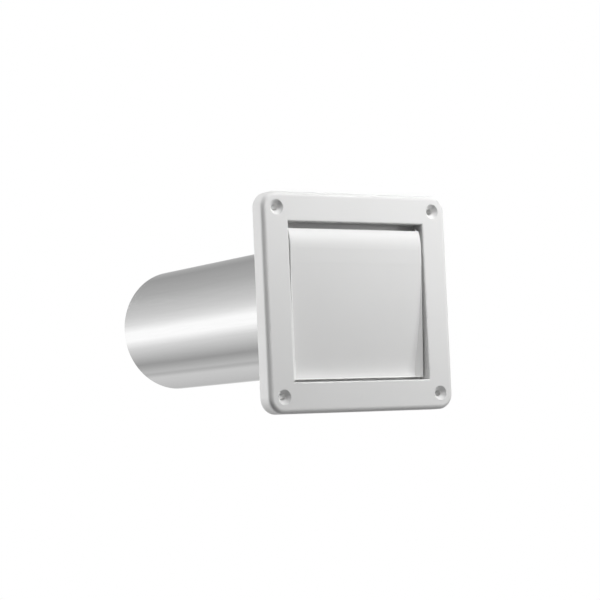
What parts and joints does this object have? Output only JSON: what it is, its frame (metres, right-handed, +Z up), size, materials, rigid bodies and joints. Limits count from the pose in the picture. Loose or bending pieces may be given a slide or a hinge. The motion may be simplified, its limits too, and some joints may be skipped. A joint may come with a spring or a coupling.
{
  "type": "flap louver vent",
  "caption": "Square white wall vent: a top-hinged gravity flap hangs in a moulded face frame, and a round metal tail pipe runs back through the wall to the duct.",
  "frame": {"origin": "on the tail pipe's axis, in the plane of the wall that the frame's rear rim sits on, at the centre of the screw holes", "axes": "+Y back into the wall along the pipe, -Y outwards to someone facing the vent, +X to their right, +Z up"},
  "size_m": [0.1626, 0.289, 0.1626],
  "materials": {
    "white_plastic": "satin white moulding",
    "pipe_aluminium": "satin rolled sheet"
  },
  "bodies": {
    "housing": {"face_frame": "white_plastic", "tail_pipe": "pipe_aluminium"},
    "flap": {"flap": "white_plastic"}
  },
  "joints": [
    {"name": "flap_swing", "type": "hinge", "parent": "housing", "child": "flap", "pos_m": [0, -0.006, 0.0538], "axis": [-1, 0, 0], "range_deg": [0, 72]}
  ]
}
